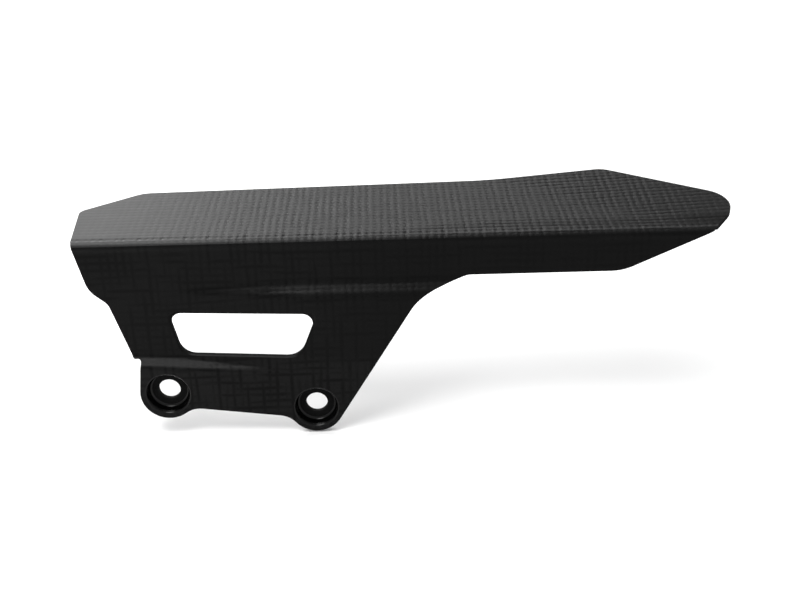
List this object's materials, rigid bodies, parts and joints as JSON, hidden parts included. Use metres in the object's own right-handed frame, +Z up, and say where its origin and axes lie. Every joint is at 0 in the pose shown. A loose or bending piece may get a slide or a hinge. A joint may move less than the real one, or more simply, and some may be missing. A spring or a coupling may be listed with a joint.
{
  "type": "motorcycle chain guard",
  "caption": "Moulded carbon chain guard: an angled top panel folded over a side wall with a windowed, stepped bracket and recessed screw cups.",
  "frame": {"origin": "midway between the two screw holes, on the seat plane behind their cups", "axes": "+X along the fold towards the rear wheel, +Y from the outer face inwards to the wheel, along the screws, +Z up"},
  "size_m": [0.1959, 0.0435, 0.068],
  "materials": {
    "carbon": "plain-weave carbon laminate under a matte clear coat"
  },
  "bodies": {
    "root": {"chain_guard": "carbon"}
  },
  "joints": []
}
